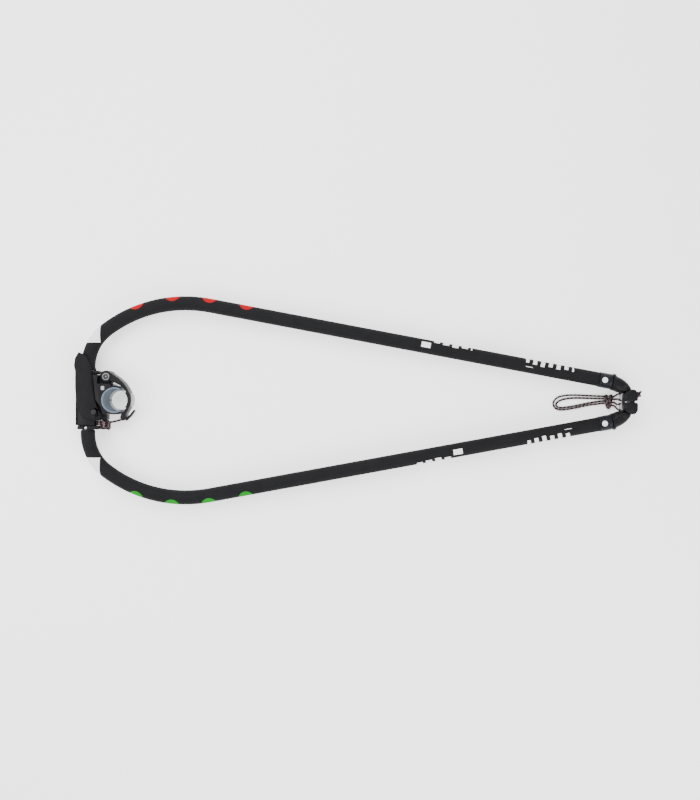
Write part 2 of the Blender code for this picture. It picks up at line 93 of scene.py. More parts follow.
# ---- camera, floor and light ----
def make_stage():
    """A camera straight above, a pale floor and soft studio light."""
    camera = bpy.data.objects.new("camera", bpy.data.cameras.new("camera"))
    camera.data.lens = 45.0
    camera.data.sensor_width = 36.0
    camera.location = CAMERA_AT
    camera.rotation_euler = (0, 0, math.radians(CAMERA_TURN_DEG))
    bpy.context.collection.objects.link(camera)
    bpy.context.scene.camera = camera

    bm = bmesh.new()
    bmesh.ops.create_grid(bm, x_segments=1, y_segments=1, size=8.0)
    bmesh.ops.translate(bm, verts=bm.verts, vec=(0, 0, -0.0006))
    mesh = bpy.data.meshes.new("floor")
    bm.to_mesh(mesh)
    bm.free()
    floor = bpy.data.objects.new("floor", mesh)
    bpy.context.collection.objects.link(floor)
    paper = Finish("studio_floor", (0.96, 0.96, 0.96), 0.9)
    paper.set(Emission_Color=(1.0, 1.0, 1.0, 1.0), Emission_Strength=0.9)
    mesh.materials.append(paper.material)

    world = bpy.data.worlds.new("studio")
    world.use_nodes = True
    world.node_tree.nodes["Background"].inputs["Color"].default_value = (1.0, 1.0, 1.0, 1.0)
    world.node_tree.nodes["Background"].inputs["Strength"].default_value = 1.25
    bpy.context.scene.world = world
    lamps = (("key", (-0.5, 1.4, 2.2), 1.6, 60.0), ("fill", (0.9, -1.6, 1.8), 1.8, 45.0),
             ("strip", (-1.6, -0.2, 1.4), 1.0, 20.0))
    for name, spot, size, power in lamps:
        lamp = bpy.data.lights.new(name, "AREA")
        lamp.size = size
        lamp.energy = power
        holder = bpy.data.objects.new(name, lamp)
        holder.location = spot
        aim = Vector((0, 0, MID)) - Vector(spot)
        holder.rotation_euler = aim.to_track_quat("-Z", "Y").to_euler()
        bpy.context.collection.objects.link(holder)


# ---- materials ----
class Signal:
    """A shader value that can be used in sums and comparisons."""

    def __init__(self, tree, socket):
        self.tree = tree
        self.socket = socket

    def maths(self, operation, first, second=0.0, third=0.0):
        node = self.tree.nodes.new("ShaderNodeMath")
        node.operation = operation
        for slot, value in zip(node.inputs, (first, second, third)):
            if isinstance(value, Signal):
                self.tree.links.new(value.socket, slot)
            else:
                slot.default_value = value
        return Signal(self.tree, node.outputs[0])

    def __add__(self, other):
        return self.maths("ADD", self, other)

    def __sub__(self, other):
        return self.maths("SUBTRACT", self, other)

    def __rsub__(self, other):
        return self.maths("SUBTRACT", other, self)

    def __mul__(self, other):
        return self.maths("MULTIPLY", self, other)

    def __truediv__(self, other):
        return self.maths("DIVIDE", self, other)

    def __lt__(self, other):
        return self.maths("LESS_THAN", self, other)

    def __gt__(self, other):
        return self.maths("GREATER_THAN", self, other)

    def __or__(self, other):
        return self.maths("MAXIMUM", self, other)

    __radd__ = __add__
    __rmul__ = __mul__

    def fract(self):
        return self.maths("FRACT", self)

    def clamp(self):
        return self.maths("MINIMUM", self.maths("MAXIMUM", self, 0.0), 1.0)

    def absolute(self):
        return self.maths("ABSOLUTE", self)


class Finish:
    """A named material with its Principled shader."""

    def __init__(self, name, colour, roughness, metallic=0.0, specular=0.5):
        self.material = bpy.data.materials.new(name)
        self.material.use_nodes = True
        self.tree = self.material.node_tree
        self.shader = self.tree.nodes["Principled BSDF"]
        self.set(Base_Color=(*colour, 1.0), Roughness=roughness, Metallic=metallic,
                 Specular_IOR_Level=specular)

    def set(self, **values):
        """Values or links of the shader's own sockets."""
        for name, value in values.items():
            socket = self.shader.inputs[name.replace("_", " ")]
            if isinstance(value, Signal):
                self.tree.links.new(value.socket, socket)
            else:
                socket.default_value = value

    def node(self, kind, output=0, settings=(), **inputs):
        """Any other node, with its settings first and then the values or links of its sockets."""
        node = self.tree.nodes.new("ShaderNode" + kind)
        for name, value in dict(settings).items():
            setattr(node, name, value)
        for name, value in inputs.items():
            socket = next(s for s in node.inputs if s.name == name.replace("_", " ") and s.enabled)
            if isinstance(value, Signal):
                self.tree.links.new(value.socket, socket)
            else:
                socket.default_value = (*value, 1.0) if socket.type == "RGBA" else value
        if isinstance(output, str):
            return Signal(self.tree, next(s for s in node.outputs if s.name == output and s.enabled))
        return Signal(self.tree, node.outputs[output])

    def place(self):
        return self.node("TexCoord", "Object")

    def stretched(self, scale):
        return self.node("Mapping", "Vector", Vector=self.place(), Scale=scale)

    def axis(self, number):
        return self.node("SeparateXYZ", number, Vector=self.place())

    def grain(self, scale, detail=3.0):
        return self.node("TexNoise", 0, Vector=self.place(), Scale=scale, Detail=detail)

    def attribute(self, name):
        return self.node("Attribute", "Fac", {"attribute_name": name, "attribute_type": "GEOMETRY"})

    def mix(self, share, first, second):
        """A colour between two colours."""
        return self.node("Mix", "Result", {"data_type": "RGBA"}, Factor=share, A=first, B=second)

    def bump(self, height, distance, strength=1.0):
        self.set(Normal=self.node("Bump", 0, Height=height, Distance=distance, Strength=strength))


# ---- finishes of this boom ----
def plastic(name, colour, roughness, grain=1400.0, depth=0.00006):
    """Moulded plastic: fine spark-eroded grain, faint scuffs and uneven gloss."""
    finish = Finish(name, colour, roughness, 0.0, 0.12)
    cloud = finish.grain(55.0, 4.0)
    scuff = finish.node("TexNoise", 0, Vector=finish.stretched((1.0, 0.12, 1.0)), Scale=420.0, Detail=2.0)
    worn = (scuff - 0.62).clamp() * 3.0
    light = tuple(c * 1.9 + 0.008 for c in colour)
    finish.set(Base_Color=finish.mix((worn * cloud).clamp(), colour, light))
    finish.set(Roughness=cloud * 0.22 + (roughness - 0.11))
    finish.bump(finish.grain(grain, 2.0), depth)
    return finish.material


def metal(name, colour, roughness, brushed=(1.0, 1.0, 0.05)):
    finish = Finish(name, colour, roughness, 1.0)
    lines = finish.node("TexNoise", 0, Vector=finish.stretched(brushed), Scale=900.0, Detail=3.0)
    finish.set(Base_Color=finish.mix(lines, tuple(c * 0.8 for c in colour), colour))
    finish.set(Roughness=lines * 0.25 + (roughness - 0.1))
    finish.bump(lines, 0.00003)
    return finish.material


def rubber(name, colour, roughness=0.6):
    finish = Finish(name, colour, roughness)
    cloud = finish.grain(90.0, 4.0)
    dark, pale = (tuple(c * share for c in colour) for share in (0.78, 1.18))
    finish.set(Base_Color=finish.mix(cloud, dark, pale))
    finish.set(Roughness=cloud * 0.2 + (roughness - 0.08))
    finish.bump(finish.grain(1700.0, 2.0), 0.00008)
    return finish.material


def cup_rubber():
    """Blue-grey rubber with a painted highlight along its lower lip, and a moulded seam at the back."""
    colour = (0.085, 0.115, 0.15)
    finish = Finish("cup_rubber", colour, 0.55)
    height = finish.axis(2)
    cloud = finish.grain(140.0, 4.0)
    skin = finish.mix(cloud, tuple(c * 0.8 for c in colour), tuple(c * 1.25 for c in colour))
    # painted highlight: below 7.5 mm the wall is mixed toward pale grey to stand for the lit lower rim
    lip = (height < 0.0075) * (cloud * 0.5 + 0.6)
    seam = (finish.axis(1).absolute() < 0.0012) * (height < 0.0102)
    wall = finish.mix(lip.clamp(), skin, (0.72, 0.74, 0.76))
    finish.set(Base_Color=finish.mix(seam, wall, (0.02, 0.02, 0.02)))
    finish.set(Roughness=cloud * 0.25 + 0.42)
    finish.bump(finish.grain(1500.0, 2.0), 0.0001)
    return finish.material


def along_at(x):
    """Distance along an arm from the start of its straight leg, at a place on the leg."""
    return (x - LEG_START[0]) / math.cos(math.radians(LEG_DEG))


def foam(name, dot_colour, dots, block_x, bar_runs, line_x):
    """Charcoal EVA foam with plain coloured dots, white blocks and a white patch on the bend."""
    finish = Finish(name, (0.01, 0.01, 0.01), 0.8, 0.0, 0.1)
    along = finish.attribute("along")
    turn = finish.attribute("rise").maths("ARCTAN2", finish.attribute("rise"), finish.attribute("out"))
    cells = finish.node("TexVoronoi", 0, Scale=1500.0, Vector=finish.place())
    cloud = finish.grain(38.0, 4.0)
    fine = finish.grain(700.0, 3.0)
    dark, pale = (0.0045, 0.0045, 0.005), (0.014, 0.014, 0.0155)
    skin = finish.mix((cloud * 0.45 + fine * 0.55 - 0.12).clamp(), dark, pale)

    def disc(centre, angle, radius):
        ahead = along - centre
        across = (turn - angle) * GRIP_R
        return (ahead * ahead + across * across) < radius * radius

    def between(value, low, high):
        return (value > low) * (value < high)

    spots = None
    for centre in dots:
        spot = disc(centre, math.radians(DOT_TURN_DEG), DOT_R)
        spots = spot if spots is None else spots | spot
    block = along_at(block_x)
    white = between(along, block - BLOCK_HALF, block + BLOCK_HALF) * between(turn, *BLOCK_TURN)
    for start, end, pitch, share, reach in bar_runs:
        count = (along - along_at(start) + turn * 0.002) / pitch
        height = (count.maths("FLOOR", count) * 2.4).fract() * 0.3 + (reach - 0.2)
        run = between(along, along_at(start), along_at(end)) * (turn > -0.9) * (turn < height)
        white = white | (run * (count.fract() < share))
    thin = between(along, along_at(line_x), along_at(line_x) + 0.017) * between(turn, 1.70, 1.77)
    x, y = finish.axis(0), finish.axis(1).absolute()
    patch = (x < -0.611) * (y > 0.1375)
    white = (white | thin) | patch
    grit = (fine * 0.25 + 0.8).clamp()
    ink = finish.mix(grit, (0.55, 0.55, 0.55), (0.9, 0.9, 0.9))
    colour = finish.mix(white, finish.mix(spots, skin, dot_colour), ink)
    finish.set(Base_Color=colour, Roughness=fine * 0.25 + 0.62)
    finish.bump(cells * 0.6 + fine * 0.7, 0.00022, 0.8)
    return finish.material


def braid_finish():
    """Black braided cord with pinkish-grey flecks."""
    finish = Finish("rope_braid", (0.03, 0.02, 0.02), 0.9, 0.0, 0.15)
    fleck = finish.attribute("fleck")
    fibres = finish.grain(5200.0, 2.0)
    dark = finish.mix(fibres, (0.004, 0.003, 0.0035), (0.022, 0.015, 0.016))
    pale = finish.mix(fibres, (0.07, 0.043, 0.048), (0.25, 0.18, 0.19))
    finish.set(Base_Color=finish.mix(fleck, dark, pale), Roughness=fibres * 0.2 + 0.75)
    finish.bump(fibres, 0.0001)
    return finish.material


def screw_finish():
    """Blackened screw head with a painted highlight: a bright grey ring and a bright centre."""
    finish = Finish("jaw_screw_steel", (0.03, 0.03, 0.03), 0.35, 0.3, 0.2)
    x, y = finish.axis(0) + 0.5957, finish.axis(1) - 0.056
    radius = (x * x + y * y).maths("SQRT", x * x + y * y)
    cloud = finish.grain(420.0, 3.0)
    # painted highlight: the ring and the centre take a brighter grey that stands for light on the head
    ring = ((radius - 0.0072).absolute() < 0.0009) | (radius < 0.0019)
    painted_highlight_grey = finish.mix(cloud, (0.16, 0.165, 0.17), (0.34, 0.35, 0.36))
    blackened = finish.mix(cloud, (0.012, 0.012, 0.013), (0.05, 0.05, 0.052))
    finish.set(Base_Color=finish.mix(ring, blackened, painted_highlight_grey))
    finish.set(Roughness=cloud * 0.25 + 0.25)
    finish.bump(cloud, 0.00004)
    return finish.material


def button_finish():
    """Plain white plastic, faintly mottled."""
    finish = Finish("button_white", (0.82, 0.82, 0.82), 0.35)
    cloud = finish.grain(800.0, 3.0)
    finish.set(Base_Color=finish.mix(cloud, (0.74, 0.74, 0.74), (0.86, 0.86, 0.86)))
    finish.set(Roughness=cloud * 0.15 + 0.3)
    finish.bump(cloud, 0.00003)
    return finish.material


# ---- building helpers ----
def add_piece(bm, name, material, body, nodes=(), smooth=40.0):
    """A finished mesh as a named piece that rides on a body and stands for CAD nodes."""
    mesh = bpy.data.meshes.new(name)
    bm.to_mesh(mesh)
    bm.free()
    mesh.shade_smooth()
    mesh.set_sharp_from_angle(angle=math.radians(smooth))
    mesh.materials.append(material)
    piece = bpy.data.objects.new(name, mesh)
    bpy.context.collection.objects.link(piece)
    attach(piece, body)
    if nodes:
        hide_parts(*nodes)
    return piece


def repaint(node, material):
    mesh = frame["nodes"][node].data
    mesh.materials.clear()
    mesh.materials.append(material)


def refined(node, name, material, body, bevel=0.0008, segments=3, corner=32.0, crown=0.0):
    """A merged copy of a CAD solid with rounded edges, and a raised top panel where it has a crown."""
    bm = bmesh.new()
    bm.from_mesh(frame["nodes"][node].data)
    bmesh.ops.remove_doubles(bm, verts=bm.verts, dist=0.000002)
    bmesh.ops.dissolve_limit(bm, angle_limit=math.radians(1.0), verts=bm.verts, edges=bm.edges)
    if crown:
        top = max(face.calc_center_median().z for face in bm.faces if face.normal.z > 0.9)
        panels = [f for f in bm.faces if f.normal.z > 0.9 and f.calc_center_median().z > top - 0.0002]
        bmesh.ops.inset_region(bm, faces=panels, thickness=crown, depth=0.0012, use_even_offset=True)
    edges = [e for e in bm.edges if e.is_manifold and e.calc_face_angle(0.0) > math.radians(corner)]
    bmesh.ops.bevel(bm, geom=edges, offset=bevel, segments=segments, profile=0.5, affect="EDGES",
                    material=-1, clamp_overlap=True)
    bmesh.ops.remove_doubles(bm, verts=bm.verts, dist=0.00001)
    bmesh.ops.dissolve_degenerate(bm, edges=bm.edges, dist=0.00001)
    return add_piece(bm, name, material, body, (node,))


def frame_at(point, outward, up, forward, wide, tall=None):
    """A matrix that puts a unit circle across a line."""
    tall = wide if tall is None else tall
    matrix = Matrix.Identity(4)
    for column, vector in enumerate((outward * wide, up * tall, forward)):
        matrix.col[column].xyz = vector
    matrix.translation = point
    return matrix


def sweep(frames, distances, sides, close=True, squared=None, power=1.0):
    """A round skin pulled through frames, which keeps its place along and around as attributes.

    The ring numbered squared is made a rounded square, and those after it keep that outline.
    """
    bm = bmesh.new()
    layers = [bm.verts.layers.float.new(name) for name in ("along", "out", "rise")]
    ring = bmesh.ops.create_circle(bm, cap_ends=False, segments=sides, radius=1.0)["verts"]
    bmesh.ops.transform(bm, matrix=frames[0], verts=ring)
    edges = list(bm.edges)

    def mark(verts, number):
        back = frames[number].inverted()
        for vert in verts:
            spot = back @ vert.co
            for layer, value in zip(layers, (distances[number], spot.x, spot.y)):
                vert[layer] = value

    mark(ring, 0)
    first = edges
    for number in range(1, len(frames)):
        pulled = bmesh.ops.extrude_edge_only(bm, edges=edges)["geom"]
        ring = [item for item in pulled if isinstance(item, bmesh.types.BMVert)]
        edges = [item for item in pulled if isinstance(item, bmesh.types.BMEdge)]
        bmesh.ops.transform(bm, matrix=frames[number] @ frames[number - 1].inverted(), verts=ring)
        mark(ring, number)
        if number == squared:
            soften(ring, frames[number], power)
    if close:
        bmesh.ops.contextual_create(bm, geom=first)
        bmesh.ops.contextual_create(bm, geom=edges)
    bmesh.ops.recalc_face_normals(bm, faces=bm.faces)
    return bm


def soften(verts, frame, power):
    """Turn a round ring into a rounded square one."""
    back = frame.inverted()
    for vert in verts:
        spot = back @ vert.co
        spot.x = math.copysign(abs(spot.x) ** power, spot.x)
        spot.y = math.copysign(abs(spot.y) ** power, spot.y)
        vert.co = frame @ spot


def turned(profile, point, axis, steps=48):
    """A closed profile of (radius, height) pairs spun round an axis."""
    bm = bmesh.new()
    tilt = UP.rotation_difference(Vector(axis)).to_matrix().to_4x4()
    verts = [bm.verts.new((radius, 0, height)) for radius, height in profile]
    edges = [bm.edges.new(pair) for pair in zip(verts, verts[1:] + verts[:1])]
    bmesh.ops.spin(bm, geom=verts + edges, cent=(0, 0, 0), axis=UP, angle=math.tau, steps=steps,
                   use_merge=True)
    bmesh.ops.remove_doubles(bm, verts=bm.verts, dist=0.000005)
    bmesh.ops.dissolve_degenerate(bm, edges=bm.edges, dist=0.000005)
    bmesh.ops.transform(bm, matrix=Matrix.Translation(Vector(point)) @ tilt, verts=bm.verts)
    bmesh.ops.recalc_face_normals(bm, faces=bm.faces)
    return bm


def bar(low, high, width, segments=3):
    """A block with rounded edges."""
    bm = bmesh.new()
    bmesh.ops.create_cube(bm, size=1.0)
    size = Vector(high) - Vector(low)
    bmesh.ops.scale(bm, verts=bm.verts, vec=size)
    bmesh.ops.translate(bm, verts=bm.verts, vec=(Vector(high) + Vector(low)) / 2)
    bmesh.ops.bevel(bm, geom=bm.edges[:], offset=width, segments=segments, profile=0.5, affect="EDGES",
                    material=-1)
    return bm


# ---- the arms' line ----
def arm_line(step=math.radians(2.5)):
    """Points and directions of the left arm from its grip's front end to the collar."""
    x, y = TUBE_X, BEND_START
    line = [(x, GRIP_START, 90.0), (x, y, 90.0)]
    for radius, start, end in BENDS:
        centre = (x + radius * math.sin(math.radians(start)), y - radius * math.cos(math.radians(start)))
        count = math.ceil(math.radians(start - end) / step)
        for number in range(1, count + 1):
            degrees = start + (end - start) * number / count
            heading = math.radians(degrees)
            x, y = centre[0] - radius * math.sin(heading), centre[1] + radius * math.cos(heading)
            line.append((x, y, degrees))
        x, y = line[-1][:2]
    return line


LINE = arm_line()
LEG_START = LINE[-1]
LEG_SLOPE = math.tan(math.radians(LEG_DEG))


def leg_point(x, side):
    """The middle of an arm's straight leg at x."""
    return Vector((x, (LEG_START[1] + LEG_SLOPE * (x - LEG_START[0])) * side, MID))


def leg_axes(side):
    """Directions along the leg and outward from it."""
    heading = math.radians(LEG_DEG)
    ahead, aside = math.cos(heading), math.sin(heading)
    return Vector((ahead, aside * side, 0)), Vector((-aside, ahead * side, 0))


def distance_at(x):
    """Distance from the leg's start back to a place on the bends, below zero there."""
    total = 0.0
    places = [(LINE[-1][0], 0.0)]
    for first, second in zip(LINE[-2::-1], LINE[:0:-1]):
        total -= math.dist(first[:2], second[:2])
        places.append((first[0], total))
    for (x0, d0), (x1, d1) in zip(places, places[1:]):
        if x1 <= x <= x0:
            return d0 + (d1 - d0) * (x0 - x) / (x0 - x1)
    return total


# ---- ropes ----
def smooth_route(points, spacing):
    """Even points on a smooth curve through a route's own points."""
    points = [Vector(p) for p in points]
    ends = [points[0] * 2 - points[1]] + points + [points[-1] * 2 - points[-2]]
    fine = []
    for before, here, after, beyond in zip(ends, ends[1:], ends[2:], ends[3:]):
        for step in range(24):
            t = step / 24
            square = before * 2 - here * 5 + after * 4 - beyond
            cube = here * 3 - before - after * 3 + beyond
            fine.append(0.5 * (here * 2 + (after - before) * t + square * t ** 2 + cube * t ** 3))
    fine.append(points[-1])
    lengths = [0.0]
    for first, second in zip(fine, fine[1:]):
        lengths.append(lengths[-1] + (second - first).length)
    count = max(4, round(lengths[-1] / spacing))
    even = []
    piece = 0
    for number in range(count + 1):
        target = lengths[-1] * number / count
        while piece < len(fine) - 2 and lengths[piece + 1] < target:
            piece += 1
        share = (target - lengths[piece]) / max(lengths[piece + 1] - lengths[piece], 1e-9)
        even.append(fine[piece].lerp(fine[piece + 1], share))
    return even, lengths[-1]


def braided(paths, name, material, body, nodes=(), radius=ROPE_R, carriers=8):
    """Rope of woven strands along each path: every crossing stands proud and some carry a pale fleck."""
    joined = bmesh.new()
    fleck = joined.verts.layers.float.new("fleck")
    for path in paths:
        curve = bpy.data.curves.new(name, "CURVE")
        curve.dimensions = "3D"
        curve.bevel_depth = radius
        curve.bevel_resolution = 4
        curve.use_fill_caps = True
        spline = curve.splines.new("POLY")
        spline.points.add(len(path) - 1)
        for target, point in zip(spline.points, path):
            target.co = (*point, 1.0)
        holder = bpy.data.objects.new(name, curve)
        bpy.context.collection.objects.link(holder)
        mesh = bpy.data.meshes.new_from_object(holder.evaluated_get(bpy.context.evaluated_depsgraph_get()))
        bpy.data.objects.remove(holder, do_unlink=True)
        sides = len(mesh.vertices) // len(path)
        base = len(joined.verts)
        joined.from_mesh(mesh)
        joined.verts.ensure_lookup_table()
        pitch = radius * 1.6
        travelled = 0.0
        for ring, point in enumerate(path):
            travelled += (point - path[ring - 1]).length if ring else 0.0
            for side in range(sides):
                vert = joined.verts[base + ring * sides + side]
                turn = side / sides * carriers / 2
                first, second = turn + travelled / pitch, turn - travelled / pitch
                swell = math.cos(math.pi * first) ** 2 * math.cos(math.pi * second) ** 2
                swell = max(swell, math.sin(math.pi * first) ** 2 * math.sin(math.pi * second) ** 2)
                vert.co = point + (vert.co - point) * (0.94 + 0.18 * swell)
                mark = (math.floor(first) * 7 + math.floor(second) * 13) % 5
                vert[fleck] = 1.0 if mark == 0 or (mark == 2 and swell > 0.4) else 0.0
        bpy.data.meshes.remove(mesh)
    return add_piece(joined, name, material, body, nodes, 60.0)


def knot_paths(centre, size, passes, spread):
    """Side by side passes of an overhand knot."""
    paths = []
    for number in range(passes):
        shift = (number - (passes - 1) / 2) * spread
        points = []
        for step in range(72):
            t = math.tau * step / 72
            x = math.sin(t) + 2 * math.sin(2 * t)
            y = math.cos(t) - 2 * math.cos(2 * t)
            grow = 1.0 + shift / size[1]
            swing = Vector((x / 3 * size[0] * grow, y / 3 * size[1] * grow, -math.sin(3 * t) * size[2]))
            points.append(centre + swing)
        paths.append(smooth_route(points, 0.0008)[0])
    return paths


# ---- the outhaul rope and the clamp rope ----
SLACK_DEPTHS = (-0.0505, -0.0558)
LOOP_OUTER = [(0.604, 0.0134, 0.005), (0.586, 0.0139, 0.003), (0.562, 0.0149, 0.0026),
              (0.536, 0.0159, 0.0026), (0.512, 0.0152, 0.0026), (0.492, 0.0105, 0.0026),
              (0.4815, 0.0, 0.0026), (0.4815, -0.0095, 0.0026), (0.4865, -0.0165, 0.0026),
              (0.496, -0.0198, 0.0026), (0.512, -0.019, 0.0026), (0.536, -0.0148, 0.0026),
              (0.562, -0.0092, 0.0026), (0.586, -0.0056, 0.003), (0.604, -0.0036, 0.005)]
LOOP_INNER = [(0.604, 0.0076, 0.005), (0.586, 0.0079, 0.003), (0.562, 0.0085, 0.0026),
              (0.536, 0.0089, 0.0026), (0.515, 0.0076, 0.0026), (0.498, 0.0032, 0.0026),
              (0.4884, -0.004, 0.0026), (0.4882, -0.0102, 0.0026), (0.495, -0.0144, 0.0026),
              (0.510, -0.0139, 0.0026), (0.536, -0.0096, 0.0026), (0.562, -0.004, 0.0026),
              (0.586, 0.0, 0.003), (0.604, 0.0018, 0.005)]
LEAD_A = [(0.6245, 0.012, 0.007), (0.6268, 0.013, 0.009), (0.6288, 0.0155, 0.017), (0.6295, 0.0175, 0.027),
          (0.6312, 0.0193, 0.035), (0.6342, 0.020, 0.038)]
LEAD_B = [(0.6245, 0.006, 0.007), (0.627, 0.006, 0.009), (0.6289, 0.0065, 0.017), (0.6293, 0.0062, 0.028),
          (0.6305, 0.0055, 0.035)]
LEAD_C = [(0.6245, -0.0015, 0.007), (0.627, -0.002, 0.009), (0.6289, -0.0044, 0.017),
          (0.6293, -0.0064, 0.028), (0.6305, -0.006, 0.035)]
LEAD_D = [(0.6245, -0.0088, 0.007), (0.6268, -0.010, 0.009), (0.6288, -0.013, 0.017),
          (0.6295, -0.0165, 0.027), (0.6312, -0.0193, 0.035), (0.6342, -0.020, 0.038)]
IN_LOBE = [(0.6745, 0.019, 0.038), (0.666, 0.019, 0.038), (0.656, 0.0192, 0.038), (0.648, 0.020, 0.038),
           (0.642, 0.0203, 0.038)]
ROUND_SHEAVE = [(0.642, -0.0202, 0.038), (0.6485, -0.0175, 0.038), (0.651, -0.011, 0.038),
                (0.6485, -0.0045, 0.038), (0.642, -0.002, 0.038), (0.6356, -0.0042, 0.037)]
REAR_END = [(0.635, 0.0032, 0.038), (0.642, 0.002, 0.038), (0.650, 0.004, 0.038)]


def soft_cos(angle):
    """A cosine with flatter ends, for turns round a squared post."""
    return math.copysign(abs(math.cos(angle)) ** 0.6, math.cos(angle))


def make_ropes():
    rope = braid_finish()
    route = IN_LOBE + LEAD_A[::-1] + [(0.614, 0.0125, 0.006)] + LOOP_OUTER + [(0.614, -0.006, 0.006)] + LEAD_D
    route += ROUND_SHEAVE + LEAD_C[::-1] + [(0.614, 0.0, 0.0065)] + LOOP_INNER[::-1]
    route += [(0.614, 0.0065, 0.0065)] + LEAD_B + REAR_END
    path, length = smooth_route(route, 0.0006)
    tail_nodes = ["outhaul_loop_outer", "outhaul_loop_inner"]
    tail_nodes += [f"outhaul_lead_{letter}" for letter in "abcd"]
    outhaul = braided([path], "outhaul_rope", rope, "tail", tail_nodes)

    knot_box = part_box("outhaul_front_knot")
    middle = (knot_box[0] + knot_box[1]) / 2
    passes = knot_paths(middle + Vector((0, 0, 0.0002)), Vector((0.0082, 0.0142, 0.0046)), 3, 0.0042)
    front = braided(passes, "outhaul_front_knot_strands", rope, "tail", ["outhaul_front_knot"])
    stop_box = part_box("outhaul_stopper_knot")
    middle = (stop_box[0] + stop_box[1]) / 2
    passes = knot_paths(middle, Vector((0.0046, 0.0048, 0.0036)), 2, 0.0022)
    for rise, spread in ((0.002, 0.0048), (-0.002, -0.0042)):
        end = [middle, middle + Vector((0.003, spread * 0.5, rise)), middle + Vector((0.0055, spread, rise)),
               middle + Vector((0.0068, spread * 1.25, rise))]
        passes.append(smooth_route(end, 0.0006)[0])
    rear = braided(passes, "outhaul_stopper_knot_strands", rope, "tail", ["outhaul_stopper_knot"])

    low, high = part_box("rope_winding")
    middle = (low + high) / 2
    coils = []
    for layer, wide, tall, count in ((0, 0.0078, 0.0104, 4), (1, 0.0098, 0.0124, 3)):
        points = []
        for number in range(count * 28 + 1):
            angle = math.tau * number / 28
            depth = high.y - 0.0026 - 0.0022 * layer - 0.0045 * number / 28
            rise = soft_cos(angle - math.pi / 2) * tall
            points.append(Vector((middle.x + soft_cos(angle) * wide, depth, MID + rise)))
        coils.append(smooth_route(points, 0.0006)[0])
    for depth in SLACK_DEPTHS:
        slack = [(-0.604, depth, 0.0128), (-0.612, depth - 0.0008, 0.0124), (-0.6178, depth - 0.0015, 0.0090),
                 (-0.6184, depth - 0.0020, 0.0010), (-0.6178, depth - 0.0025, -0.0070),
                 (-0.612, depth - 0.0030, -0.0122), (-0.604, depth - 0.0036, -0.0128)]
        coils.append(smooth_route([(x, y, z + MID) for x, y, z in slack], 0.0006)[0])
    braided(coils, "horn_winding", rope, "head", ["rope_winding"])
    run = [(-0.591, -0.0531, 0.0032), (-0.580, -0.0513, 0.0032), (-0.570, -0.0489, 0.0032),
           (-0.5645, -0.0473, 0.0018), (-0.5633, -0.0469, 0.0)]
    run += [(x, y, -z) for x, y, z in run[-2::-1]]
    run = [(x, y, z + MID) for x, y, z in run]
    braided([smooth_route(run, 0.0006)[0]], "clamp_rope", rope, "head",
            ["clamp_rope_upper", "clamp_rope_lower"])


# ---- arms ----
def make_grip(name, side, material):
    """Foam sleeve: a round skin along the arm with softened ends, and a wall inside it."""
    line = [(x, y * side, degrees * side) for x, y, degrees in LINE]
    count = 60
    for number in range(1, count + 1):
        x = LEG_START[0] + (GRIP_END_X - LEG_START[0]) * number / count
        line.append((x, leg_point(x, side).y, LEG_DEG * side))
    places, distances = [], []
    travelled = 0.0
    before = None
    for x, y, degrees in line:
        heading = math.radians(degrees)
        forward = Vector((math.cos(heading), math.sin(heading), 0))
        outward = Vector((-forward.y, forward.x, 0)) * side
        point = Vector((x, y, MID))
        travelled += (point - before).length if before else 0.0
        before = point
        places.append((point, outward, forward))
        distances.append(travelled)
    leg = distances[len(LINE) - 1]
    rounds = ((0.0, 0.0150), (0.0, 0.0161), (0.0005, 0.0168), (0.0013, GRIP_R))
    frames, marks = [], []
    for shift, radius in rounds:
        point, outward, forward = places[0]
        frames.append(frame_at(point + forward * shift, outward, UP, forward, radius))
        marks.append(shift - leg)
    for (point, outward, forward), distance in list(zip(places, distances))[1:-1]:
        frames.append(frame_at(point, outward, UP, forward, GRIP_R))
        marks.append(distance - leg)
    for shift, radius in rounds[::-1]:
        point, outward, forward = places[-1]
        frames.append(frame_at(point - forward * shift, outward, UP, forward, radius))
        marks.append(distances[-1] - shift - leg)
    bm = sweep(frames, marks, 64, close=False)
    piece = add_piece(bm, f"{name}_foam_grip", material, f"{name}_arm", (f"{name}_grip",), 70.0)
    wall = piece.modifiers.new("wall", "SOLIDIFY")
    wall.thickness = 0.0004
    wall.offset = -1.0
    return piece


